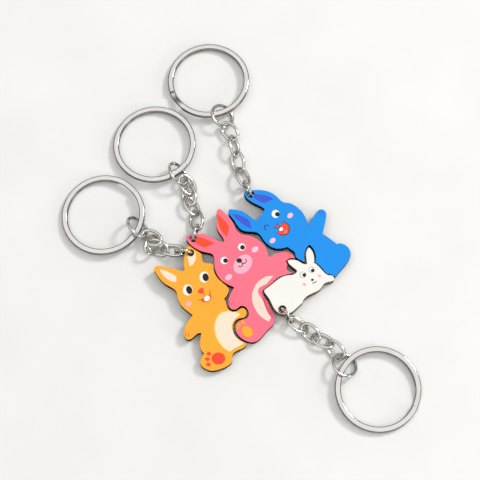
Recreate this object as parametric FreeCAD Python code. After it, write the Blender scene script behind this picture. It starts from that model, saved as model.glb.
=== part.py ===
import FreeCAD, Part
import math
import os

# A set of four cut-board rabbit key charms that nest together, each with a jump ring,
# four chain links, an end ring and a 30 mm split ring. Millimetres, +Z up. The set lies
# on the plane z = 0, and the origin is the middle of the set's outline on that plane.

V = FreeCAD.Vector
UP = V(0, 0, 1)

# Driving dimensions
BOARD_THICK = 2.8          # fibreboard core
PRINT_THICK = 0.2          # printed skin on the board's front
HOLE_R = 1.25              # drilled hole for the jump ring
HOLE_LIFT = 1.6            # the holed end rests this high on its jump ring
FOOT_SAMPLES = 400         # points tried when finding the edge a board rests on
LINK_WIRE_R = 0.575        # chain and end ring wire
LINK_HALF_LENGTH = 3.825   # oval link, measured to the wire's centre line
LINK_HALF_WIDTH = 2.425
LINK_END_R = 2.0
JUMP_WIRE_R = 0.55
JUMP_R = 2.95              # jump ring, to the wire's centre line
JUMP_REACH = 2.45          # from the hole's centre to the jump ring's centre
END_RING_R = 4.3           # end ring, to the wire's centre line
BUTT_GAP = 0.08            # where the two ends of a bent wire meet
BUTT_ANGLE = 90            # a round ring's ends meet here, clear of its neighbours
SPLIT_OUTER_R = 15.0
SPLIT_INNER_R = 13.0
COIL_THICK = 0.9           # one turn of the split ring's flat wire
COIL_GAP = 0.1             # between its two turns
COIL_CHAMFER = 0.22
JOG_ANGLE = 27.0           # where the wire steps from the lower turn to the upper
JOG_STEPS = 9
END_CUT_ANGLE = 1.0

CORNER = True              # marks a sharp corner in an outline

# Outlines run clockwise, and a smooth curve joins the points from corner to corner.
ORANGE_OUTLINE = [
    (-18.95, -15.2, CORNER), (-19.3, -12.4), (-19.0, -9.8), (-18.5, -7.6), (-17.7, -6.5),
    (-16.4, -7.2), (-14.3, -8.6), (-13.1, -9.6), (-12.85, -11.5), (-12.1, -12.6), (-10.6, -12.85),
    (-8.95, -13.4, CORNER), (-8.8, -15.1), (-8.2, -16.9), (-6.4, -19.2), (-4.4, -20.9),
    (-3.4, -22.2), (-3.6, -23.6),
    (-5.0, -25.7, CORNER), (-4.3, -27.4), (-3.6, -29.3), (-1.9, -30.3), (-0.2, -29.9),
    (1.5, -29.0), (2.8, -30.3), (2.4, -32.1), (0.1, -32.8), (-1.4, -34.1), (-1.9, -36.2),
    (-1.4, -38.4), (0.3, -40.2),
    (2.8, -41.6, CORNER), (1.7, -43.2), (-0.7, -44.3), (-1.95, -45.6), (-2.2, -47.9),
    (-3.9, -49.6), (-6.6, -50.75), (-9.2, -51.2), (-11.8, -50.3), (-13.2, -48.6), (-12.8, -46.6),
    (-11.9, -45.2, CORNER), (-13.1, -43.4), (-13.35, -40.8),
    (-12.9, -38.0, CORNER), (-14.6, -38.4), (-16.4, -40.0), (-17.9, -40.2), (-18.85, -38.8),
    (-18.8, -36.4), (-17.5, -33.7),
    (-16.0, -31.6, CORNER), (-17.6, -30.3), (-19.7, -28.5), (-21.0, -26.2),
    (-21.7, -23.3, CORNER), (-23.3, -21.8), (-25.6, -20.5), (-27.5, -18.7), (-29.2, -16.3),
    (-29.75, -14.9), (-28.9, -14.0), (-26.3, -14.2), (-22.9, -14.75), (-20.5, -15.55),
    (-19.4, -15.65)]

PINK_OUTLINE = [
    (10.5, -10.6, CORNER), (12.2, -9.6), (14.5, -8.8), (16.8, -8.6), (18.9, -9.4),
    (20.0, -10.95, CORNER), (18.3, -10.9),
    (16.6, -12.1, CORNER), (17.15, -13.5), (17.0, -14.8), (17.8, -15.6),
    (19.3, -16.2, CORNER), (17.3, -16.75), (15.0, -17.45), (13.2, -18.6), (11.2, -20.5),
    (9.1, -22.1), (8.35, -23.3), (8.9, -24.7), (10.1, -26.3), (11.1, -28.7), (12.1, -30.5),
    (12.6, -32.7), (12.4, -34.2), (10.6, -36.4), (8.6, -38.7), (6.6, -40.6), (4.6, -41.15),
    (2.5, -40.6), (0.4, -39.2), (-0.8, -37.4), (-1.0, -35.4), (0.1, -33.7), (1.9, -32.9),
    (3.3, -32.2), (3.5, -30.4), (2.5, -28.6), (0.9, -28.2), (-0.8, -29.35), (-2.2, -29.5),
    (-3.3, -28.3), (-3.5, -26.0), (-2.8, -23.8),
    (-1.5, -21.5, CORNER), (-3.4, -20.7), (-5.8, -19.2), (-7.6, -16.9), (-8.4, -14.4),
    (-8.6, -11.4), (-9.3, -9.5), (-10.9, -9.0), (-13.5, -8.3), (-16.0, -6.9), (-18.0, -5.0),
    (-18.65, -3.4), (-17.7, -2.6), (-15.3, -2.35), (-12.4, -2.1), (-9.8, -3.2), (-7.5, -4.5),
    (-5.1, -5.0, CORNER), (-5.6, -3.4), (-7.1, -1.3), (-7.85, 1.2), (-7.7, 4.3), (-7.65, 6.6),
    (-6.9, 7.2), (-5.4, 6.2), (-3.6, 4.3), (-2.0, 2.1), (-0.6, -0.8), (1.0, -2.05),
    (3.6, -2.6), (6.3, -3.75), (8.6, -5.5), (10.0, -7.8)]

BLUE_OUTLINE = [
    (24.6, 1.2, CORNER), (25.7, 3.0), (27.3, 5.5), (29.6, 7.35), (31.1, 6.5), (31.2, 4.0),
    (30.6, 1.0),
    (29.9, -1.75, CORNER), (32.2, -3.3), (34.9, -5.5, CORNER), (37.0, -5.4), (39.2, -7.1),
    (39.75, -9.7), (38.5, -12.2), (36.4, -14.8),
    (34.2, -17.5, CORNER), (32.6, -16.65), (31.2, -16.5, CORNER), (30.0, -15.0), (28.8, -13.55),
    (27.15, -12.4, CORNER), (27.4, -10.3), (26.8, -7.9), (25.2, -5.8, CORNER), (23.9, -7.3),
    (23.2, -9.7), (23.5, -11.8, CORNER), (22.9, -12.2, CORNER), (21.6, -11.3), (20.3, -10.3),
    (20.0, -9.0), (18.6, -7.6),
    (17.3, -6.7, CORNER), (15.3, -7.25), (12.6, -7.15), (10.4, -5.9), (8.6, -3.8), (7.0, -1.75),
    (4.6, -1.2), (1.4, -0.7), (-0.2, 0.7), (-1.8, 3.2), (-3.5, 5.8), (-3.5, 6.8), (-1.5, 7.0),
    (1.2, 6.4), (3.9, 4.7),
    (6.3, 2.8, CORNER), (7.4, 4.3), (9.1, 6.7), (9.2, 7.4, CORNER), (6.6, 8.9), (4.2, 10.2),
    (2.3, 12.2), (2.0, 13.4), (4.3, 14.2), (7.5, 14.4), (11.0, 13.7), (13.9, 11.8), (15.8, 10.0),
    (18.2, 9.55), (20.8, 8.2), (23.0, 5.9)]

WHITE_OUTLINE = [
    (24.25, -13.2, CORNER), (24.0, -11.2), (24.0, -8.9), (25.0, -6.9, CORNER), (26.3, -8.6),
    (26.75, -10.6),
    (26.7, -12.7, CORNER), (28.6, -14.3), (30.2, -16.2), (31.6, -17.25), (33.3, -17.6),
    (33.7, -18.8), (31.9, -19.7), (30.1, -20.5), (28.9, -22.2), (26.6, -23.7), (24.2, -25.0),
    (22.3, -27.7, CORNER), (20.4, -29.4), (18.4, -31.1), (16.2, -31.8), (14.1, -31.4),
    (12.3, -29.5), (11.1, -26.9), (9.7, -24.7), (9.0, -23.2), (10.0, -22.2), (12.0, -20.6),
    (14.2, -18.75), (17.3, -17.45), (19.9, -16.9),
    (20.65, -15.7, CORNER), (19.1, -14.3), (17.8, -13.0), (17.35, -11.95, CORNER),
    (19.1, -11.55), (21.2, -12.1), (22.9, -13.1)]

# Each keychain: the outline, its hole, the way the board slopes up (degrees from +X), the
# jump ring's heading, and the rings' places. A link or end ring is (x, y, z, heading,
# pitch, roll). A split ring is (x, y, slope up towards the chain, its cut end's angle).
KEYCHAINS = {
    "orange": {
        "outline": ORANGE_OUTLINE, "hole": (-16.9, -9.1), "slope": 100.4,
        "jump_heading": 172,
        "links": [(-23.3, -7.5, 1.75, 171, -2, 27), (-28.6, -6.35, 1.55, 152, 2, -23),
                  (-30.8, -5.75, 3, -114, 19, -37), (-30.9, -3.25, 3.3, 149, -9, -3)],
        "end_ring": (-35.85, 0.45, 4, 124, -2, 51), "split_ring": (-48.35, 5.6, 4.6, 40)},
    "pink": {
        "outline": PINK_OUTLINE, "hole": (-16, -3.9), "slope": 118.9,
        "jump_heading": 74,
        "links": [(-15, 3.55, 2.45, 99, -10, -27), (-16.75, 8.9, 1.9, 121, 1, 31),
                  (-17.75, 13.15, 1.45, 100, -3, -20), (-18.45, 17.2, 1.9, 124, 15, 12)],
        "end_ring": (-21.7, 20.65, 4, 108, -7, 52), "split_ring": (-30.5, 32.6, 4.6, -32)},
    "blue": {
        "outline": BLUE_OUTLINE, "hole": (4.4, 12.7), "slope": 139.1,
        "jump_heading": 114,
        "links": [(1.6, 19.9, 2.55, 106, -10, 31), (-0.2, 25.8, 2.05, 104, 2, -33),
                  (-1.55, 31.85, 2.55, 99, 1, 52), (-3.2, 37.5, 2.6, 128, -1, -20)],
        "end_ring": (-5.85, 43.4, 2.95, 99, -2, 32), "split_ring": (-11, 57.7, 4.4, -159)},
    "white": {
        "outline": WHITE_OUTLINE, "hole": (15.4, -29.8), "slope": 246.4,
        "jump_heading": -50,
        "links": [(20.85, -34.8, 2.05, -31, -10, -28), (25.25, -37.6, 1.6, -44, -3, 22),
                  (29.5, -40.35, 1.55, -23, -1, -22), (33.85, -43.75, 1.85, -49, 2, 29)],
        "end_ring": (36.85, -49.2, 2.6, -58, 5, -27), "split_ring": (48.3, -57.6, 3, -22)},
}


def local_frame(place, heading, pitch, roll):
    """A placement whose X runs along the heading and whose Y is rolled up from the level."""
    heading, pitch, roll = (math.radians(angle) for angle in (heading, pitch, roll))
    level_reach = math.cos(pitch)
    along = V(math.cos(heading) * level_reach, math.sin(heading) * level_reach, math.sin(pitch))
    level = V(-math.sin(heading), math.cos(heading), 0)
    lift = along.cross(level)
    across = level * math.cos(roll) + lift * math.sin(roll)
    normal = along.cross(across)
    return FreeCAD.Placement(FreeCAD.Matrix(
        along.x, across.x, normal.x, place[0],
        along.y, across.y, normal.y, place[1],
        along.z, across.z, normal.z, place[2],
        0, 0, 0, 1))


def outline_face(points):
    """A flat face at z = 0 inside an outline."""
    corners = [i for i, point in enumerate(points) if len(point) > 2]
    edges = []
    for first, last in zip(corners, corners[1:] + [corners[0] + len(points)]):
        run = [V(*points[i % len(points)][:2], 0) for i in range(first, last + 1)]
        if len(run) == 2:
            edges.append(Part.LineSegment(*run).toShape())
            continue
        curve = Part.BSplineCurve()
        curve.interpolate(run)
        edges.append(curve.toShape())
    return Part.Face(Part.Wire(edges))


def charm_layers(points, hole, slope_angle):
    """The board and its printed skin, sloping up towards the hole."""
    face = outline_face(points)
    drill = Part.makeCylinder(HOLE_R, 3 * BOARD_THICK, V(*hole, -BOARD_THICK))
    board = face.extrude(UP * BOARD_THICK).cut(drill)
    skin = face.extrude(UP * PRINT_THICK)
    skin.translate(UP * BOARD_THICK)
    skin = skin.cut(drill)

    uphill = V(math.cos(math.radians(slope_angle)), math.sin(math.radians(slope_angle)), 0)
    foot = min(vertex.dot(uphill) for vertex in face.OuterWire.discretize(FOOT_SAMPLES))
    slope = math.degrees(math.asin(HOLE_LIFT / (V(*hole, 0).dot(uphill) - foot)))
    for layer in (board, skin):
        layer.rotate(uphill * foot, uphill.cross(UP), slope)
    return board, skin


def bent_wire(arcs, wire_r):
    """Round wire bent along arcs (centre x, centre y, radius, start angle, end angle)."""
    pieces = []
    for x, y, radius, start, end in arcs:
        angle = math.radians(start)
        at = V(x + radius * math.cos(angle), y + radius * math.sin(angle), 0)
        travel = V(-math.sin(angle), math.cos(angle), 0)
        section = Part.Face(Part.Wire(Part.makeCircle(wire_r, at, travel)))
        pieces.append(section.revolve(V(x, y, 0), UP, end - start))
    wire = pieces[0]
    for piece in pieces[1:]:
        wire = wire.fuse(piece)
    return wire.Solids[0]


def round_ring(radius, wire_r):
    """A ring of round wire, bent until its ends meet."""
    half_gap = math.degrees(BUTT_GAP / 2 / radius)
    return bent_wire(
        [(0, 0, radius, BUTT_ANGLE + half_gap, BUTT_ANGLE + 360 - half_gap)], wire_r)


def oval_link():
    """An oval chain link: two tight end arcs, two flat side arcs, ends meeting on one side."""
    end_x = LINK_HALF_LENGTH - LINK_END_R
    side_r = ((end_x ** 2 + LINK_HALF_WIDTH ** 2 - LINK_END_R ** 2)
              / (2 * (LINK_HALF_WIDTH - LINK_END_R)))
    side_y = side_r - LINK_HALF_WIDTH
    turn = math.degrees(math.atan2(side_y, end_x))
    half_gap = math.degrees(BUTT_GAP / 2 / side_r)
    return bent_wire([
        (0, side_y, side_r, 270 + half_gap, 360 - turn),
        (end_x, 0, LINK_END_R, -turn, turn),
        (0, -side_y, side_r, turn, 180 - turn),
        (-end_x, 0, LINK_END_R, 180 - turn, 180 + turn),
        (0, side_y, side_r, 180 + turn, 270 - half_gap)], LINK_WIRE_R)


def coil_section(angle, height):
    """The flat wire's chamfered section, standing across the split ring at an angle."""
    half = COIL_THICK / 2
    cut = COIL_CHAMFER
    corners = [(SPLIT_INNER_R, cut - half), (SPLIT_INNER_R + cut, -half),
               (SPLIT_OUTER_R - cut, -half), (SPLIT_OUTER_R, cut - half),
               (SPLIT_OUTER_R, half - cut), (SPLIT_OUTER_R - cut, half),
               (SPLIT_INNER_R + cut, half), (SPLIT_INNER_R, half - cut)]
    turn = math.radians(angle)
    points = [V(r * math.cos(turn), r * math.sin(turn), height + z) for r, z in corners]
    return Part.makePolygon(points + points[:1])


def split_ring(cut_angle):
    """Two turns of flat wire. The wire steps up just after the upper turn's cut end."""
    level = (COIL_THICK + COIL_GAP) / 2
    start = cut_angle + JOG_ANGLE
    lower = Part.Face(coil_section(start, -level)).revolve(V(), UP, 360 - JOG_ANGLE)
    upper = Part.Face(coil_section(start, level)).revolve(V(), UP, 360 - JOG_ANGLE - END_CUT_ANGLE)
    steps = []
    for step in range(JOG_STEPS + 1):
        part = step / JOG_STEPS
        rise = part * part * (3 - 2 * part)
        steps.append(coil_section(cut_angle + part * JOG_ANGLE, level * (2 * rise - 1)))
    jog = Part.makeLoft(steps, True, True)
    return lower.fuse(jog).fuse(upper).Solids[0]


def keychain_nodes(name, chain):
    """Every piece of one keychain, by node name."""
    nodes = {}
    board, skin = charm_layers(chain["outline"], chain["hole"], chain["slope"])
    nodes[name + "_rabbit_board"] = board.Solids[0]
    nodes[name + "_rabbit_print"] = skin.Solids[0]

    heading = math.radians(chain["jump_heading"])
    jump = round_ring(JUMP_R, JUMP_WIRE_R)
    jump.Placement = local_frame(
        (chain["hole"][0] + JUMP_REACH * math.cos(heading),
         chain["hole"][1] + JUMP_REACH * math.sin(heading),
         JUMP_R + JUMP_WIRE_R), chain["jump_heading"], 0, 90)
    nodes[name + "_jump_ring"] = jump

    for number, pose in enumerate(chain["links"], start=1):
        link = oval_link()
        link.Placement = local_frame(pose[:3], *pose[3:])
        nodes[name + "_chain_link_" + str(number)] = link

    pose = chain["end_ring"]
    end_ring = round_ring(END_RING_R, LINK_WIRE_R)
    end_ring.Placement = local_frame(pose[:3], *pose[3:])
    nodes[name + "_end_ring"] = end_ring

    x, y, slope, cut_end = chain["split_ring"]
    towards_chain = math.degrees(math.atan2(pose[1] - y, pose[0] - x))
    rise = math.radians(slope)
    height = SPLIT_OUTER_R * math.sin(rise) + (COIL_THICK + COIL_GAP / 2) * math.cos(rise)
    ring = split_ring(cut_end - towards_chain)
    ring.Placement = local_frame((x, y, height), towards_chain, slope, 0)
    nodes[name + "_split_ring"] = ring
    return nodes


os.makedirs("parts", exist_ok=True)
for rabbit, layout in KEYCHAINS.items():
    for node, shape in keychain_nodes(rabbit, layout).items():
        shape.exportStep("parts/" + node + ".step")
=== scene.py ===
import math

import bpy
import numpy as np
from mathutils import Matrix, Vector
from mathutils.geometry import delaunay_2d_cdt


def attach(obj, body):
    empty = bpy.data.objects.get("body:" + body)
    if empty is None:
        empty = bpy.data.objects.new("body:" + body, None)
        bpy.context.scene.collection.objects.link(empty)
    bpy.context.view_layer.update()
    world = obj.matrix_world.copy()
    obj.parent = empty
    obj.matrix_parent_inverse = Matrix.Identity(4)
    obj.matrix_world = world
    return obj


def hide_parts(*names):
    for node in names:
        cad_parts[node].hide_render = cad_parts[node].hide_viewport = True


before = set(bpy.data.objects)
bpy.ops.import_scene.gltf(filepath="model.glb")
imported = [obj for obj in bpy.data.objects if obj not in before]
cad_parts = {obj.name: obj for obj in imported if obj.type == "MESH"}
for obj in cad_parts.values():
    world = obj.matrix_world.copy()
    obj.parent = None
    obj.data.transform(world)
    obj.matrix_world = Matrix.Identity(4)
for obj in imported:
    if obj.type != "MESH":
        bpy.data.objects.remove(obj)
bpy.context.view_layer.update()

# Looks for the set of four nested rabbit keychains: smooth bright wire for the rings and
# chains, printed pictures on the charms, charred board edges. Lengths in this script are
# millimetres until MM turns them into Blender's metres, and angles are degrees.

MM = 0.001
CHARMS = ("orange", "pink", "blue", "white")
CHAIN_LINKS = 4

# Camera: nearly straight down, a little from the near side
CAMERA_ELEVATION = 73.0
CAMERA_DISTANCE = 498.2
CAMERA_TARGET = (0.6, -4.0, 3.0)
CAMERA_LENS = 105.0
SENSOR_WIDTH = 36.0

# Wire sizes, as in the CAD rings except where noted
LINK_WIRE_R = 0.575
LINK_HALF_LENGTH = 3.825
LINK_HALF_WIDTH = 2.425
LINK_END_R = 2.0
JUMP_WIRE_R = 0.55
JUMP_R = 2.95
END_RING_R = 4.3
BUTT_GAP = 0.08
SPLIT_R = 14.0
STRIP_WIDTH = 2.0
STRIP_THICK = 0.9
STRIP_ROUND = 0.4             # rounder than the CAD strip's small chamfer
TURN_RISE = 1.0               # from the lower turn's middle to the upper turn's
JOG_ANGLE = 27.0              # the strip steps up over this angle
END_CUT_ANGLE = 1.0           # the CAD rings' upper turn is cut this far before the step
SLIT_ANGLE = 2.4              # here it draws back a little more, and leaves a dark slit
END_EASE = 0.07               # over its last stretch of this length, a cut end narrows
END_SIZE = 0.86               # to this share of the wire
ROUND_SIZES = {"jump_ring": (JUMP_R, JUMP_WIRE_R), "end_ring": (END_RING_R, LINK_WIRE_R)}

# How finely the wires are divided
WIRE_SIDES = 28
RING_STATIONS = 120
SPLIT_STATIONS = 300
STRIP_CORNER_STEPS = 5

# How a CAD ring's cut is recognised
ALONG_WIRE = 0.97             # the faces of a cut look along the wire at least this squarely
SEAM_REACH = 0.3              # a link's cut lies within this of the middle of its long side
TOP_SLACK = 0.02              # points this near a split ring's highest one are its top

# Printed skin
PRINT_THICK = 0.2
RIM_INSET = 0.07              # the top's edge is eased by this much inwards
RIM_DROP = 0.05               # and by this much downwards
RIM_SPACING = 0.16            # outline points stay at least this far apart
TOP_FACING = 0.9              # the skin's top faces look up at least this squarely
HOLE_R = 1.25
HOLE_BURN = 0.3               # scorched band round the white charm's drilled hole
CORNER = True                 # marks a sharp corner in a printed shape
CURVE_STEPS = 6               # points drawn for each stretch between two given ones
CUT_TOLERANCE = 1e-5          # points closer than this are one where shapes are cut

# Edges that turn by more than this stay sharp
WIRE_SMOOTH_ANGLE = 38.0
PRINT_SMOOTH_ANGLE = 20.0


# ---------------------------------------------------------------- materials

def srgb(r, g, b):
    """Linear colour from 0..255 screen values."""
    def linear(v):
        v /= 255
        return v / 12.92 if v <= 0.04045 else ((v + 0.055) / 1.055) ** 2.4
    return (linear(r), linear(g), linear(b), 1.0)


def shade(color, factor):
    return tuple(min(1.0, c * factor) for c in color[:3]) + (1.0,)


def new_material(name):
    material = bpy.data.materials.new(name)
    material.use_nodes = True
    tree = material.node_tree
    return material, tree, tree.nodes["Principled BSDF"]


def feed(tree, node, sockets):
    """Give the node's named sockets their values, or link them to another node's output."""
    for name, value in sockets.items():
        if isinstance(value, bpy.types.NodeSocket):
            tree.links.new(value, node.inputs[name])
        else:
            node.inputs[name].default_value = value


def add(tree, kind, sockets=None, **settings):
    """A new node with its properties set and its sockets fed."""
    node = tree.nodes.new(kind)
    for key, value in settings.items():
        setattr(node, key, value)
    feed(tree, node, sockets or {})
    return node


def noise(tree, place, scale, detail=3.0, rough=0.5):
    node = add(tree, "ShaderNodeTexNoise",
               {"Vector": place, "Scale": scale, "Detail": detail, "Roughness": rough})
    return node.outputs["Fac"]


def ramp(tree, value, *stops):
    """The colour that runs through the stops, (position, colour) pairs, as the value rises."""
    node = add(tree, "ShaderNodeValToRGB", {"Fac": value})
    elements = node.color_ramp.elements
    for position, _ in stops[1:-1]:
        elements.new(position)
    for element, (position, color) in zip(elements, stops):
        element.position = position
        element.color = color
    return node.outputs["Color"]


def spread(tree, value, low, high, start=0.0, end=1.0):
    """The value's range from start to end stretched onto low..high, and held there outside it."""
    node = add(tree, "ShaderNodeMapRange", {"Value": value, "From Min": start, "From Max": end,
                                            "To Min": low, "To Max": high})
    return node.outputs["Result"]


def math_node(tree, operation, *values):
    node = add(tree, "ShaderNodeMath", operation=operation)
    for number, value in enumerate(values):
        feed(tree, node, {number: value})
    return node.outputs[0]


def weighted_sum(tree, *parts):
    """The sum of the parts, (value, weight) pairs."""
    total, *terms = [math_node(tree, "MULTIPLY", value, weight) for value, weight in parts]
    for term in terms:
        total = math_node(tree, "ADD", total, term)
    return total


def mix(tree, factor, first, second):
    """The first colour where the factor is 0, the second where it is 1."""
    node = add(tree, "ShaderNodeMix", {"Factor": factor, "A": first, "B": second},
               data_type="RGBA")
    return node.outputs["Result"]


def level_facing(tree, coords):
    """1 where the surface faces along its object's own Z, up or down, and 0 on its walls."""
    split = add(tree, "ShaderNodeSeparateXYZ", {"Vector": coords.outputs["Normal"]})
    return math_node(tree, "ABSOLUTE", split.outputs["Z"])


def bump(tree, shader, height, distance, strength):
    node = add(tree, "ShaderNodeBump",
               {"Height": height, "Distance": distance * MM, "Strength": strength})
    feed(tree, shader, {"Normal": node.outputs["Normal"]})


def ink(name, color):
    """Printed ink on a finely woven coating, a little satin."""
    material, tree, shader = new_material("ink_" + name)
    place = add(tree, "ShaderNodeTexCoord").outputs["Object"]
    turned_place = add(tree, "ShaderNodeMapping",
                       {"Vector": place, "Rotation": (0, 0, math.radians(8))}).outputs["Vector"]
    threads = [add(tree, "ShaderNodeTexWave",
                   {"Vector": turned_place, "Scale": 560, "Distortion": 1.2, "Detail": 1.0},
                   bands_direction=direction).outputs["Fac"] for direction in ("X", "Y")]
    weave = math_node(tree, "MULTIPLY", *threads)
    patchy = noise(tree, place, 90, 3)
    grain = noise(tree, place, 2600, 2)
    mixed = weighted_sum(tree, (patchy, 0.35), (grain, 0.35), (weave, 0.3))
    feed(tree, shader, {
        "Base Color": ramp(tree, mixed, (0.2, shade(color, 0.9)), (0.8, shade(color, 1.06))),
        "Roughness": spread(tree, mixed, 0.4, 0.62),
        "Specular IOR Level": 0.2})
    bump(tree, shader, mixed, 0.03, 0.35)
    return material


def charred_board(name, dark, light):
    """Fibreboard: burnt laser-cut walls with fine upright streaks, plain brown faces."""
    material, tree, shader = new_material(name)
    coords = add(tree, "ShaderNodeTexCoord")
    place = coords.outputs["Object"]
    upright = add(tree, "ShaderNodeMapping", {"Vector": place, "Scale": (1, 1, 0.06)})
    streaks = noise(tree, upright.outputs["Vector"], 3200, 2, 0.6)
    smoke = noise(tree, place, 420, 3)
    soot = weighted_sum(tree, (streaks, 0.55), (smoke, 0.45))
    wall = ramp(tree, soot, (0.38, dark), (0.72, light))

    fibres = noise(tree, place, 1500, 4, 0.7)
    face = ramp(tree, fibres, (0.3, (0.17, 0.1, 0.055, 1)), (0.7, (0.36, 0.24, 0.14, 1)))
    is_face = math_node(tree, "GREATER_THAN", level_facing(tree, coords), 0.7)
    feed(tree, shader, {"Base Color": mix(tree, is_face, wall, face),
                        "Roughness": spread(tree, soot, 0.62, 0.9),
                        "Specular IOR Level": 0.05})
    bump(tree, shader, soot, 0.04, 0.4)
    return material


def bright_nickel(name, tone, roughness, painted_edge_shade=None):
    """Bright plated wire with faint drawing marks and a few dull spots. A flat wire's rounded
    corners can take a darker tone of their own: painted shade for the dark surroundings they
    reflect."""
    material, tree, shader = new_material(name)
    coords = add(tree, "ShaderNodeTexCoord")
    place = coords.outputs["Object"]
    dull = noise(tree, place, 180, 3)
    marks = noise(tree, place, 2400, 2, 0.7)
    plating_and_edge_shade = ramp(tree, dull, (0.3, shade(tone, 0.9)), (0.6, tone))
    # painted shade: a flat wire's rounded corners are darkened in the colour, standing in for the
    # dark surroundings they reflect
    if painted_edge_shade is not None:
        facing = level_facing(tree, coords)
        side_face = spread(tree, facing, 0.0, 1.0, 0.5, 0.3)
        top_face = spread(tree, facing, 0.0, 1.0, 0.88, 0.97)
        outside_painted_edges = math_node(tree, "MAXIMUM", side_face, top_face)
        plating_and_edge_shade = mix(tree, outside_painted_edges, painted_edge_shade, plating_and_edge_shade)
    feed(tree, shader, {"Base Color": plating_and_edge_shade,
                        "Roughness": spread(tree, dull, roughness * 1.5, roughness * 0.7),
                        "Metallic": 1.0,
                        "Specular Tint": GRAZING_TINT})
    bump(tree, shader, marks, 0.004, 0.15)
    return material


# ---------------------------------------------------------------- meshes

def make_piece(name, points, faces, materials, face_slots=None, smooth_angle=WIRE_SMOOTH_ANGLE):
    """An object from points in millimetres, shaded smooth except at sharp edges."""
    mesh = bpy.data.meshes.new(name)
    mesh.from_pydata([tuple(c * MM for c in p) for p in points], [], faces)
    for material in materials:
        mesh.materials.append(material)
    if face_slots is not None:
        mesh.polygons.foreach_set("material_index", face_slots)
    mesh.polygons.foreach_set("use_smooth", [True] * len(mesh.polygons))
    mesh.set_sharp_from_angle(angle=math.radians(smooth_angle))
    mesh.validate()
    piece = bpy.data.objects.new(name, mesh)
    bpy.context.scene.collection.objects.link(piece)
    return piece


def stand_in(piece, node, body):
    """The piece replaces a CAD node, which is hidden, and rides on its body."""
    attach(piece, body)
    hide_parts(node)


def cad_triangles(node):
    """The node's triangles in millimetres, as an array of triangle, corner, xyz, with their
    unit normals and twice their areas."""
    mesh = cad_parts[node].data
    mesh.calc_loop_triangles()
    points = np.array([v.co for v in mesh.vertices]) / MM
    corners = points[np.array([t.vertices for t in mesh.loop_triangles])]
    normals = np.cross(corners[:, 1] - corners[:, 0], corners[:, 2] - corners[:, 0])
    areas = np.linalg.norm(normals, axis=1)
    return corners, normals / areas[:, None], areas


def ring_axes(node):
    """A CAD ring's centre and its axes (long and short in its plane, then its normal), with its
    corner points and its triangles' middles and normals in those axes."""
    corners, normals, areas = cad_triangles(node)
    middles = corners.mean(axis=1)
    centre = (middles * areas[:, None]).sum(axis=0) / areas.sum()
    offsets = middles - centre
    weighted = (offsets * areas[:, None]).T @ offsets
    axes = np.linalg.eigh(weighted)[1][:, ::-1]       # columns: long, short, normal
    if axes[2, 2] < 0:
        axes[:, 2] *= -1
    axes[:, 1] = np.cross(axes[:, 2], axes[:, 0])
    local = (corners.reshape(-1, 3) - centre) @ axes
    shift = (local.max(axis=0) + local.min(axis=0)) / 2
    centre = centre + axes @ shift
    return centre, axes, local - shift, (middles - centre) @ axes, normals @ axes


def turned(axes, angle):
    """The axes turned about their normal, by an angle in radians."""
    c, s = math.cos(angle), math.sin(angle)
    return axes @ np.array([[c, -s, 0], [s, c, 0], [0, 0, 1]])


def wire(stations, section):
    """Points and faces of a wire: each station is (middle, outward direction, size)."""
    points, faces = [], []
    count = len(section)
    for middle, outward, size in stations:
        for side, rise in section:
            points.append((middle[0] + outward[0] * side * size,
                           middle[1] + outward[1] * side * size,
                           middle[2] + rise * size))
    for s in range(len(stations) - 1):
        for k in range(count):
            a, b = s * count + k, s * count + (k + 1) % count
            faces.append((a, b, b + count, a + count))
    last = (len(stations) - 1) * count
    faces.append(tuple(reversed(range(count))))
    faces.append(tuple(range(last, last + count)))
    return np.array(points), faces


def eased(stations):
    """The stations with both cut ends drawn in a little, so no end is razor sharp."""
    ends = []
    for near, far in ((stations[0], stations[1]), (stations[-1], stations[-2])):
        step = [f - n for f, n in zip(far[0], near[0])]
        length = math.sqrt(sum(s * s for s in step))
        inner = tuple(n + s * END_EASE / length for n, s in zip(near[0], step))
        ends.append(((near[0], near[1], END_SIZE), (inner, near[1], 1.0)))
    return [ends[0][0], ends[0][1], *stations[1:-1], ends[1][1], ends[1][0]]


def circle_section(radius):
    turns = [2 * math.pi * k / WIRE_SIDES for k in range(WIRE_SIDES)]
    return [(radius * math.cos(t), radius * math.sin(t)) for t in turns]


def arc_stations(x, y, radius, start, end, count):
    """Stations along an arc about x, y."""
    stations = []
    for k in range(count + 1):
        angle = math.radians(start + (end - start) * k / count)
        outward = (math.cos(angle), math.sin(angle))
        stations.append(((x + radius * outward[0], y + radius * outward[1], 0.0), outward, 1.0))
    return stations


def round_wire(radius, wire_r):
    """A ring of round wire, its ends meeting on +X."""
    half_gap = math.degrees(BUTT_GAP / 2 / radius)
    return wire(eased(arc_stations(0, 0, radius, half_gap, 360 - half_gap, RING_STATIONS)),
                circle_section(wire_r))


def oval_wire():
    """An oval link along X, its ends meeting on -Y."""
    end_x = LINK_HALF_LENGTH - LINK_END_R
    side_r = ((end_x ** 2 + LINK_HALF_WIDTH ** 2 - LINK_END_R ** 2)
              / (2 * (LINK_HALF_WIDTH - LINK_END_R)))
    side_y = side_r - LINK_HALF_WIDTH
    turn = math.degrees(math.atan2(side_y, end_x))
    half_gap = math.degrees(BUTT_GAP / 2 / side_r)
    arcs = [(0, side_y, side_r, 270 + half_gap, 360 - turn, 10),
            (end_x, 0, LINK_END_R, -turn, turn, 36),
            (0, -side_y, side_r, turn, 180 - turn, 20),
            (-end_x, 0, LINK_END_R, 180 - turn, 180 + turn, 36),
            (0, side_y, side_r, 180 + turn, 270 - half_gap, 10)]
    stations = []
    for arc in arcs:
        run = arc_stations(*arc)
        stations += run if not stations else run[1:]
    return wire(eased(stations), circle_section(LINK_WIRE_R))


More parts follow.
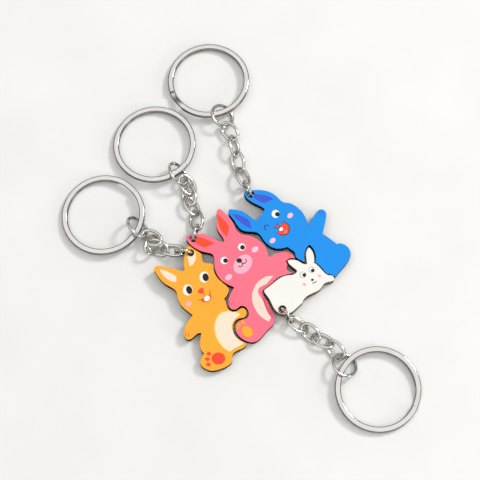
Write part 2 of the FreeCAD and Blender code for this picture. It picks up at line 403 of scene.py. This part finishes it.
def strip_section():
    """The split ring's flat wire: a rectangle with well rounded corners."""
    reach_w, reach_t = STRIP_WIDTH / 2 - STRIP_ROUND, STRIP_THICK / 2 - STRIP_ROUND
    section = []
    for quarter, (sx, sy) in enumerate(((1, 1), (-1, 1), (-1, -1), (1, -1))):
        for k in range(STRIP_CORNER_STEPS + 1):
            angle = math.radians(90 * quarter + 90 * k / STRIP_CORNER_STEPS)
            section.append((sx * reach_w + STRIP_ROUND * math.cos(angle),
                            sy * reach_t + STRIP_ROUND * math.sin(angle)))
    return section


def split_wire():
    """Two turns of flat wire. The upper turn's cut end is just before +X, and there the strip
    steps up over the jog's angle."""
    first, last = JOG_ANGLE, 720 - SLIT_ANGLE
    stations = []
    for k in range(SPLIT_STATIONS + 1):
        degrees = first + (last - first) * k / SPLIT_STATIONS
        part = min(1.0, max(0.0, (degrees - 360) / JOG_ANGLE))
        height = TURN_RISE * (part * part * (3 - 2 * part) - 0.5)
        angle = math.radians(degrees)
        outward = (math.cos(angle), math.sin(angle))
        stations.append(((SPLIT_R * outward[0], SPLIT_R * outward[1], height), outward, 1.0))
    return wire(eased(stations), strip_section())


def round_cut_angle(middles, normals):
    """Where a round ring's ends meet, in radians: only their faces look along the wire."""
    radial = middles[:, :2] / np.linalg.norm(middles[:, :2], axis=1)[:, None]
    along = np.abs(normals[:, 1] * radial[:, 0] - normals[:, 0] * radial[:, 1])
    ends = middles[along > ALONG_WIRE].mean(axis=0)
    return math.atan2(ends[1], ends[0])


def link_cut_angle(middles, normals):
    """The half turn that a link needs if its ends meet on the +Y side, in radians."""
    ends = middles[(np.abs(normals[:, 0]) > ALONG_WIRE) & (np.abs(middles[:, 0]) < SEAM_REACH)]
    return math.pi if ends[:, 1].mean() > 0 else 0.0


def split_step_angle(points):
    """Where a split ring steps up, in radians: just after its last highest point."""
    high = points[points[:, 2] > points[:, 2].max() - TOP_SLACK]
    angles = np.sort(np.arctan2(high[:, 1], high[:, 0]))
    gaps = np.diff(np.append(angles, angles[0] + 2 * math.pi))
    return angles[int(gaps.argmax())] + math.radians(END_CUT_ANGLE)


def build_ring(node, body, kind):
    """A smooth ring in place of a CAD one, in the CAD ring's own place."""
    centre, axes, points, middles, normals = ring_axes(node)
    metal = WIRE_METAL
    if kind == "link":
        turn = link_cut_angle(middles, normals)
        shape, faces = oval_wire()
    elif kind == "split_ring":
        turn = split_step_angle(points)
        shape, faces = split_wire()
        metal = SPLIT_METAL
    else:
        turn = round_cut_angle(middles, normals)
        shape, faces = round_wire(*ROUND_SIZES[kind])
    placed = shape @ turned(axes, turn).T + centre
    name = node.replace("chain_link", "oval_link") + "_wire"
    piece = make_piece(name, placed.tolist(), faces, [metal])
    stand_in(piece, node, body)


# ---------------------------------------------------------------- printed shapes

def smooth_run(points):
    """Points along a smooth open curve through the given ones."""
    pts = [Vector(p[:2]) for p in points]
    if len(pts) == 2:
        return [tuple(p) for p in pts]
    pts = [pts[0] * 2 - pts[1], *pts, pts[-1] * 2 - pts[-2]]
    out = []
    for a, b, c, d in zip(pts, pts[1:], pts[2:], pts[3:]):
        for k in range(CURVE_STEPS):
            t = k / CURVE_STEPS
            out.append(tuple(0.5 * ((2 * b) + (c - a) * t + (2 * a - 5 * b + 4 * c - d) * t ** 2
                                    + (3 * b - a - 3 * c + d) * t ** 3)))
    out.append(tuple(pts[-2]))
    return out


def blob(*points):
    """A closed shape: smooth curves from corner to corner."""
    corners = [i for i, p in enumerate(points) if len(p) > 2]
    if not corners:
        run = smooth_run([points[-1], *points, points[0], points[1]])
        return run[CURVE_STEPS:-2 * CURVE_STEPS]
    shape = []
    for first, last in zip(corners, corners[1:] + [corners[0] + len(points)]):
        run = smooth_run([points[i % len(points)] for i in range(first, last + 1)])
        shape += run[:-1]
    return shape


def oval(x, y, rx, ry=None, tilt=0.0, count=28):
    """An ellipse, its first radius turned by the tilt."""
    ry = rx if ry is None else ry
    c, s = math.cos(math.radians(tilt)), math.sin(math.radians(tilt))
    turns = [2 * math.pi * k / count for k in range(count)]
    return [(x + rx * math.cos(t) * c - ry * math.sin(t) * s,
             y + rx * math.cos(t) * s + ry * math.sin(t) * c) for t in turns]


def line(width, *points):
    """A drawn line with pointed ends."""
    run = [Vector(p) for p in smooth_run(points)]
    left, right = [], []
    for k, p in enumerate(run):
        along = (run[min(k + 1, len(run) - 1)] - run[max(k - 1, 0)]).normalized()
        side = Vector((-along.y, along.x)) * width / 2
        left.append(tuple(p + side))
        right.append(tuple(p - side))
    start = (run[0] - run[1]).normalized() * width / 2
    stop = (run[-1] - run[-2]).normalized() * width / 2
    return [tuple(run[0] + start), *left, tuple(run[-1] + stop), *reversed(right)]


def inside(points, polygon):
    """Which of the points lie inside the polygon."""
    x, y = points[:, 0], points[:, 1]
    hit = np.zeros(len(points), dtype=bool)
    for (x1, y1), (x2, y2) in zip(polygon, polygon[1:] + polygon[:1]):
        if y1 == y2:
            continue
        hit ^= ((y1 > y) != (y2 > y)) & (x < (x2 - x1) * (y - y1) / (y2 - y1) + x1)
    return hit


def skin_outline(node):
    """The printed skin's outer and hole outlines in plan, and its top plane z = a + bx + cy."""
    corners, normals, _ = cad_triangles(node)
    top = corners[normals[:, 2] > TOP_FACING]
    flat = top.reshape(-1, 3)
    plane = np.linalg.lstsq(np.c_[np.ones(len(flat)), flat[:, :2]], flat[:, 2], rcond=None)[0]
    edges = set()
    for triangle in np.round(top[:, :, :2], 5):
        keys = [tuple(p) for p in triangle]
        for a, b in zip(keys, keys[1:] + keys[:1]):
            if (b, a) in edges:
                edges.remove((b, a))
            else:
                edges.add((a, b))
    follow = dict(edges)
    loops = []
    while follow:
        start, at = follow.popitem()
        loop = [start]
        while at != start:
            loop.append(at)
            at = follow.pop(at)
        loops.append(loop)
    outer, hole = sorted(loops, key=len, reverse=True)[:2]
    return outer, hole, plane


def thinned(loop, spacing):
    """The loop without points closer together than the spacing."""
    kept = [loop[0]]
    for p in loop[1:]:
        if math.dist(p, kept[-1]) >= spacing:
            kept.append(p)
    if math.dist(kept[0], kept[-1]) < spacing:
        kept.pop()
    return kept


def inset(loop, distance):
    """The loop moved to its left by a distance: inwards for an outer loop, outwards for a hole."""
    moved = []
    count = len(loop)
    for k, p in enumerate(loop):
        before, after = Vector(loop[k - 1]), Vector(loop[(k + 1) % count])
        here = Vector(p)
        one = (here - before).normalized()
        two = (after - here).normalized()
        lean = Vector((-one.y - two.y, one.x + two.x)).normalized()
        sharpness = max(0.5, lean.dot(Vector((-one.y, one.x))))
        moved.append(tuple(here + lean * distance / sharpness))
    return moved


def divided(shapes):
    """The plane divided along closed shapes, the first two the outline and its hole: points,
    the triangles between outline and hole, their middles, and which shape points each point
    came from."""
    coords, edges = [], []
    for shape in shapes:
        first, count = len(coords), len(shape)
        coords += [Vector(p) for p in shape]
        edges += [(first + k, first + (k + 1) % count) for k in range(count)]
    points, _, triangles, origins = delaunay_2d_cdt(coords, edges, [], 0, CUT_TOLERANCE)[:4]
    points = np.array([tuple(p) for p in points])
    triangles = np.array(triangles)
    middles = points[triangles].mean(axis=1)
    kept = inside(middles, shapes[0]) & ~inside(middles, shapes[1])
    return points, triangles[kept], middles[kept], origins


def build_picture(charm, base, art):
    """The printed skin: one closed sheet whose top is divided along the picture's shapes."""
    node = charm + "_rabbit_print"
    outer, hole, plane = skin_outline(node)
    loops = [thinned(outer, RIM_SPACING), thinned(hole, RIM_SPACING)]
    inner = [inset(loop, RIM_INSET) for loop in loops]
    flat, triangles, middles, _ = divided(inner + [shape for _, shape in art])

    materials = [base, SINGED]
    slots = np.zeros(len(triangles), dtype=int)
    for material, shape in art:
        if material not in materials:
            materials.append(material)
        slots[inside(middles, shape)] = materials.index(material)

    normal = np.array([-plane[1], -plane[2], 1.0])
    normal /= np.linalg.norm(normal)

    def lifted(x, y, below):
        return tuple(np.array([x, y, plane[0] + plane[1] * x + plane[2] * y]) - normal * below)

    points = [lifted(x, y, 0.0) for x, y in flat]
    faces = triangles.tolist()
    face_slots = slots.tolist()
    lookup = {(round(x, 4), round(y, 4)): i for i, (x, y) in enumerate(flat)}
    feet = []
    for loop, edge in zip(loops, inner):
        count = len(loop)
        top = [lookup[round(x, 4), round(y, 4)] for x, y in edge]
        rim = range(len(points), len(points) + count)
        points += [lifted(x, y, RIM_DROP) for x, y in loop]
        foot = range(len(points), len(points) + count)
        points += [lifted(x, y, PRINT_THICK) for x, y in loop]
        for k in range(count):
            n = (k + 1) % count
            faces.append((top[n], top[k], rim[k], rim[n]))
            faces.append((rim[n], rim[k], foot[k], foot[n]))
            face_slots += [0, materials.index(SINGED)]
        feet += foot

    # the hidden underside closes the sheet
    _, triangles, _, origins = divided(loops)
    for triangle in triangles:
        faces.append([feet[origins[i][0]] for i in reversed(triangle)])
        face_slots.append(0)

    used = sorted({i for face in faces for i in face})
    renumber = {old: new for new, old in enumerate(used)}
    faces = [tuple(renumber[i] for i in face) for face in faces]
    piece = make_piece(charm + "_picture", [points[i] for i in used], faces, materials,
                       face_slots, PRINT_SMOOTH_ANGLE)
    stand_in(piece, node, charm + "_charm")


# ---------------------------------------------------------------- the pictures

ORANGE = ink("orange", srgb(253, 176, 54))
BUTTER = ink("butter", srgb(255, 228, 140))
RUST = ink("rust", srgb(232, 134, 52))
CREAM = ink("cream", srgb(247, 231, 208))
PALE_ROSE = ink("pale_rose", srgb(244, 222, 208))
SCARLET = ink("scarlet", srgb(255, 78, 48))
PINK = ink("pink", srgb(254, 118, 140))
# painted shadow: a darker pink for the white charm's shadow falling on the pink picture
SHADOWED_PINK = ink("shadowed_pink", srgb(232, 84, 112))
BLUSH = ink("blush", srgb(255, 180, 200))
PALE_BLUSH = ink("pale_blush", srgb(255, 200, 214))
BLUE = ink("blue", srgb(20, 146, 238))
DEEP_BLUE = ink("deep_blue", srgb(60, 92, 212))
WHITE = ink("white", srgb(243, 241, 235))
EYE_WHITE = ink("eye_white", srgb(252, 250, 246))
BLACK = ink("black", srgb(38, 32, 32))
GREY = ink("grey", srgb(168, 170, 174))
SCORCH = ink("scorch", srgb(150, 108, 70))
SINGED = ink("singed", srgb(30, 22, 18))

ORANGE_ART = [
    # ears
    (CREAM, blob((-27.8, -15.2, CORNER), (-25.6, -15.75), (-23.5, -16.8), (-22.2, -17.6),
                 (-21.8, -18.4), (-21.9, -19.8, CORNER), (-23.5, -19.6), (-25.1, -18.7),
                 (-26.7, -17.1))),
    (CREAM, blob((-17.7, -10.25), (-17.7, -11.9), (-17.3, -13.3), (-17.15, -14.2, CORNER),
                 (-16.0, -13.4), (-15.1, -11.7), (-15.05, -10.3), (-15.4, -8.7))),
    # eyes
    (EYE_WHITE, oval(-17.75, -22.7, 1.7, 1.95)),
    (BLACK, oval(-17.25, -22.7, 1.05, 1.5, 15)),
    (EYE_WHITE, oval(-12.0, -18.0, 1.65, 2.0)),
    (BLACK, oval(-11.5, -18.1, 1.1, 1.45, 10)),
    # nose, mouth and tooth
    (SCARLET, blob((-14.4, -23.4, CORNER), (-13.6, -22.2), (-12.25, -21.9, CORNER),
                   (-12.1, -23.9, CORNER), (-13.3, -24.05))),
    (SCARLET, line(0.3, (-12.1, -23.9), (-11.85, -24.9))),
    (SCARLET, line(0.3, (-14.0, -26.1), (-13.2, -26.2), (-12.5, -26.5))),
    (SCARLET, line(0.3, (-10.1, -22.85), (-9.9, -23.5), (-9.95, -24.2))),
    (SCARLET, blob((-13.3, -26.0, CORNER), (-12.4, -25.6), (-11.6, -25.2), (-10.9, -24.8),
                   (-10.0, -23.9, CORNER), (-9.5, -24.8), (-9.65, -25.9), (-10.6, -26.9),
                   (-11.9, -27.15), (-12.8, -26.8))),
    (EYE_WHITE, oval(-10.96, -25.7, 1.15, 0.9, 40)),
    # cheek, claws
    (BLUSH, oval(-17.4, -27.6, 1.1, 0.85, 30)),
    (SCARLET, line(0.28, (-18.4, -37.85), (-18.3, -39.05))),
    (SCARLET, line(0.28, (-17.1, -38.1), (-17.5, -39.3))),
    # belly, with a pale yellow rim on its left and a rust line along its right
    (BUTTER, line(0.8, (0.3, -31.4), (-1.5, -30.75), (-3.1, -30.5), (-5.0, -30.75),
                 (-6.35, -31.6), (-7.4, -33.2), (-7.9, -35.0), (-7.9, -36.9), (-7.4, -39.1),
                 (-6.35, -41.2), (-4.75, -43.1), (-3.0, -44.2))),
    (CREAM, blob((0.6, -31.6, CORNER), (-1.5, -30.75), (-3.1, -30.5), (-5.0, -30.75),
                 (-6.35, -31.6), (-7.4, -33.2), (-7.9, -35.0), (-7.9, -36.9), (-7.4, -39.1),
                 (-6.35, -41.2), (-4.75, -43.1), (-2.6, -44.4, CORNER), (-1.0, -43.3),
                 (0.9, -42.3), (2.0, -41.4, CORNER), (0.6, -40.9), (-1.0, -39.3),
                 (-1.8, -37.7), (-2.3, -35.8), (-1.9, -34.2), (-1.0, -32.9), (0.07, -31.96))),
    (RUST, line(0.3, (-0.5, -32.9), (-1.4, -34.3), (-1.8, -35.9), (-1.3, -37.6), (-0.5, -39.0),
                (0.9, -40.4))),
    # foot
    (SCARLET, oval(-6.9, -47.0, 2.4, 2.15)),
    (SCARLET, oval(-10.2, -45.35, 0.8, 0.7)),
    (SCARLET, oval(-10.7, -47.2, 0.85, 0.68)),
    (SCARLET, oval(-10.3, -49.1, 0.85, 0.68)),
]

PINK_ART = [
    (SCARLET, blob((-15.9, -5.0), (-14.9, -3.55), (-13.1, -3.55), (-10.9, -4.4),
                   (-8.25, -5.7, CORNER), (-9.7, -6.3), (-11.7, -7.2, CORNER), (-13.4, -6.7),
                   (-15.2, -5.6))),
    (SCARLET, blob((-7.5, 5.3, CORNER), (-6.5, 4.4), (-5.0, 2.8), (-3.25, 0.65, CORNER),
                   (-3.6, -1.3), (-4.05, -3.3, CORNER), (-5.4, -1.9), (-6.6, 0.3),
                   (-7.35, 3.0))),
    (EYE_WHITE, oval(-4.95, -11.9, 1.35)),
    (BLACK, oval(-4.5, -11.95, 0.85)),
    (EYE_WHITE, oval(1.2, -6.95, 1.35)),
    (BLACK, oval(1.5, -7.1, 0.85)),
    (PALE_BLUSH, oval(5.95, -7.8, 1.35, 0.95, 40)),
    (PALE_BLUSH, oval(-3.4, -18.0, 1.35, 0.95, 40)),
    (BLUSH, oval(1.6, -13.2, 3.9, 2.9, 50)),
    (BLACK, oval(0.3, -11.9, 1.0, 0.85)),
    (BLACK, line(0.3, (2.6, -11.4), (2.85, -12.2), (2.3, -12.9), (1.45, -12.85))),
    (BLACK, line(0.3, (1.4, -12.85), (1.45, -13.7), (0.8, -14.2), (0.05, -13.95))),
    (BLACK, line(0.3, (0.7, -12.3), (1.4, -12.85))),
    # painted shadow: a darker pink band along the edge beside the white charm, where its shadow
    # falls
    (SHADOWED_PINK, blob((8.6, -25.0), (9.3, -25.6), (10.4, -28.6), (11.9, -31.0), (12.3, -33.0),
                (11.5, -32.3), (10.2, -30.8), (9.2, -28.4), (8.2, -25.9))),
    (PALE_ROSE, blob((12.4, -17.5, CORNER), (9.9, -17.65), (7.3, -19.3), (5.8, -21.3),
                 (4.9, -23.9), (4.9, -26.5), (5.55, -28.5), (6.8, -30.8), (8.6, -32.6),
                 (10.65, -33.85, CORNER), (11.5, -32.3, CORNER), (10.4, -30.8), (9.4, -28.5),
                 (8.4, -25.9), (7.3, -24.4), (6.95, -23.1), (7.3, -21.9), (8.4, -21.1),
                 (9.9, -20.3), (11.2, -18.8))),
    (SCARLET, line(0.26, (-3.1, -26.6), (-3.0, -27.5))),
    (SCARLET, line(0.26, (-2.1, -27.1), (-2.5, -28.1))),
    (SCARLET, line(0.26, (17.6, -9.65), (18.6, -9.7))),
    (SCARLET, line(0.26, (17.6, -10.6), (18.6, -10.65))),
    (RUST, oval(3.1, -37.4, 2.4, 1.9, -50)),
    (ORANGE, oval(3.1, -37.4, 2.15, 1.65, -50)),
    (RUST, oval(1.6, -34.1, 0.95, 0.7, -60)),
    (ORANGE, oval(1.6, -34.1, 0.78, 0.53, -60)),
    (RUST, oval(0.2, -35.0, 0.9, 0.65, -35)),
    (ORANGE, oval(0.2, -35.0, 0.73, 0.48, -35)),
    (RUST, oval(-0.2, -36.1, 0.75, 0.6, -10)),
    (ORANGE, oval(-0.2, -36.1, 0.58, 0.43, -10)),
]

BLUE_ART = [
    (DEEP_BLUE, blob((5.7, 12.6), (8.3, 12.6), (10.9, 11.9), (12.8, 10.9, CORNER),
                     (10.9, 10.1), (9.2, 9.3, CORNER), (7.3, 10.1), (5.5, 11.4))),
    (DEEP_BLUE, blob((-2.3, 5.2, CORNER), (0.1, 4.9), (2.7, 3.8), (3.9, 2.8, CORNER),
                     (4.4, 1.3), (4.8, -0.3, CORNER), (2.7, 0.7), (0.5, 2.3), (-1.2, 3.8))),
    (EYE_WHITE, oval(13.3, 5.4, 1.4, 1.5)),
    (BLACK, oval(13.95, 5.25, 0.85)),
    (BLACK, line(0.3, (11.0, 0.85), (10.05, 1.2), (9.2, 0.5), (9.9, -0.8))),
    (PALE_BLUSH, oval(18.5, 4.85, 1.15, 0.85, 40)),
    (PALE_BLUSH, oval(12.2, -4.5, 1.15, 0.85, 40)),
    (BLACK, blob((12.5, 0.15, CORNER), (13.95, 1.9, CORNER), (15.2, 0.3, CORNER),
                 (13.8, 0.0))),
    (SCARLET, blob((12.9, 0.3, CORNER), (13.95, 1.55, CORNER), (14.8, 0.45, CORNER),
                   (13.8, 0.25))),
    (BLACK, blob((16.0, 2.75, CORNER), (17.9, 1.5), (18.3, -0.4), (17.6, -2.1),
                 (15.7, -2.6), (13.6, -1.9, CORNER), (14.8, 0.2))),
    (SCARLET, blob((16.1, 2.4, CORNER), (17.7, 1.3), (18.0, -0.3), (17.4, -1.9),
                   (15.7, -2.3), (13.9, -1.85, CORNER), (14.9, 0.2))),
    (PINK, oval(16.9, -1.1, 0.75, 0.5, 60)),
    (EYE_WHITE, oval(15.25, -0.25, 0.75, 0.6, 40)),
    (DEEP_BLUE, line(0.36, (29.05, 6.5), (29.15, 5.6))),
    (DEEP_BLUE, line(0.36, (30.0, 6.6), (30.1, 5.7))),
]

WHITE_ART = [
    (SCORCH, oval(15.4, -29.8, HOLE_R + HOLE_BURN)),
    (GREY, oval(22.8, -17.0, 1.15)),
    (EYE_WHITE, oval(22.8, -17.0, 0.9)),
    (BLACK, oval(23.3, -17.1, 0.68)),
    (GREY, oval(25.9, -15.1, 1.1)),
    (EYE_WHITE, oval(25.9, -15.1, 0.86)),
    (BLACK, oval(26.3, -15.4, 0.66)),
    (BLUSH, oval(28.6, -17.4, 0.55)),
    (BLUSH, oval(23.25, -20.6, 0.6)),
    (BLACK, oval(26.1, -18.9, 0.52, 0.44)),
    (BLACK, line(0.26, (26.0, -20.1), (26.45, -20.15), (26.65, -19.7))),
    (BLACK, line(0.26, (26.65, -19.7), (27.2, -19.75), (27.4, -19.3))),
]

build_picture("orange", ORANGE, ORANGE_ART)
build_picture("pink", PINK, PINK_ART)
build_picture("blue", BLUE, BLUE_ART)
build_picture("white", WHITE, WHITE_ART)

# ---------------------------------------------------------------- rings and boards

GRAZING_TINT = (0.25, 0.23, 0.21, 1.0)     # the metal's reflection at its turned-away edges
WIRE_METAL = bright_nickel("nickel_wire", (0.7, 0.68, 0.645, 1.0), 0.08)
# the strip's last colour is painted shade: dark reflection lines on its rounded corners
SPLIT_METAL = bright_nickel("nickel_strip", (0.66, 0.64, 0.625, 1.0), 0.1,
                            (0.14, 0.12, 0.11, 1))
BOARD = charred_board("charred_board", (0.002, 0.0015, 0.001, 1), (0.012, 0.008, 0.006, 1))
# the white charm's board gets lighter brown walls than the others
LIGHTER_BOARD = charred_board("lighter_board", (0.09, 0.06, 0.042, 1), (0.38, 0.29, 0.2, 1))

for charm in CHARMS:
    build_ring(charm + "_jump_ring", charm + "_jump", "jump_ring")
    for number in range(1, CHAIN_LINKS + 1):
        build_ring(f"{charm}_chain_link_{number}", f"{charm}_link_{number}", "link")
    build_ring(charm + "_end_ring", charm + "_end", "end_ring")
    build_ring(charm + "_split_ring", charm + "_split", "split_ring")
    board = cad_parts[charm + "_rabbit_board"]
    board.data.materials.clear()
    board.data.materials.append(LIGHTER_BOARD if charm == "white" else BOARD)

# ---------------------------------------------------------------- floor, lights, camera

FLOOR_SIZE = 2400.0
floor_material, floor_tree, floor_shader = new_material("pale_floor")
floor_place = add(floor_tree, "ShaderNodeTexCoord").outputs["Object"]
floor_tone = ramp(floor_tree, noise(floor_tree, floor_place, 30, 4),
                  (0.3, (0.83, 0.83, 0.815, 1)), (0.7, (0.87, 0.87, 0.86, 1)))
feed(floor_tree, floor_shader, {"Base Color": floor_tone,
                                "Roughness": 0.9,
                                "Specular IOR Level": 0.1})
bump(floor_tree, floor_shader, noise(floor_tree, floor_place, 900, 4), 0.1, 0.25)
half = FLOOR_SIZE / 2
floor = make_piece("floor", [(-half, -half, 0), (half, -half, 0), (half, half, 0),
                             (-half, half, 0)], [(0, 1, 2, 3)], [floor_material])


def soft_light(name, place, target, size, power):
    """A round lamp at a place, facing its target, with its size in mm and power in watts."""
    data = bpy.data.lights.new(name, "AREA")
    data.shape = "DISK"
    data.size = size * MM
    data.energy = power
    lamp = bpy.data.objects.new(name, data)
    lamp.location = Vector(place) * MM
    lamp.rotation_euler = (Vector(target) - Vector(place)).to_track_quat("-Z", "Y").to_euler()
    bpy.context.scene.collection.objects.link(lamp)


soft_light("key", (1080, 735, 1275), (0, -10, 0), 420, 13.8)
soft_light("side", (1200, -560, 520), (10, -20, 0), 420, 3.2)

# The room: pale at the horizon, a dark band that the metal reflects, bright overhead.
# Each pair is the height of the direction, from 0 level to 1 straight up, and its brightness.
SKY_LEVELS = ((0.08, 0.66), (0.38, 0.2), (0.56, 0.17), (0.84, 1.0))
SKY_TINT = (1.0, 0.985, 0.97)
SKY_STRENGTH = 1.22

world = bpy.data.worlds.new("studio")
bpy.context.scene.world = world
world.use_nodes = True
sky = world.node_tree
direction = add(sky, "ShaderNodeTexCoord").outputs["Generated"]
height = add(sky, "ShaderNodeSeparateXYZ", {"Vector": direction}).outputs["Z"]
stops = [(place, (*[level * tint for tint in SKY_TINT], 1.0)) for place, level in SKY_LEVELS]
feed(sky, sky.nodes["Background"], {"Color": ramp(sky, height, *stops),
                                    "Strength": SKY_STRENGTH})

camera_data = bpy.data.cameras.new("camera")
camera_data.lens = CAMERA_LENS
camera_data.sensor_width = SENSOR_WIDTH
camera = bpy.data.objects.new("camera", camera_data)
tilt = math.radians(CAMERA_ELEVATION)
back = Vector((0, -math.cos(tilt), math.sin(tilt)))
camera.location = Vector(CAMERA_TARGET) * MM + back * CAMERA_DISTANCE * MM
camera.rotation_euler = (-back).to_track_quat("-Z", "Y").to_euler()
bpy.context.scene.collection.objects.link(camera)
bpy.context.scene.camera = camera
bpy.context.scene.view_settings.view_transform = "Standard"
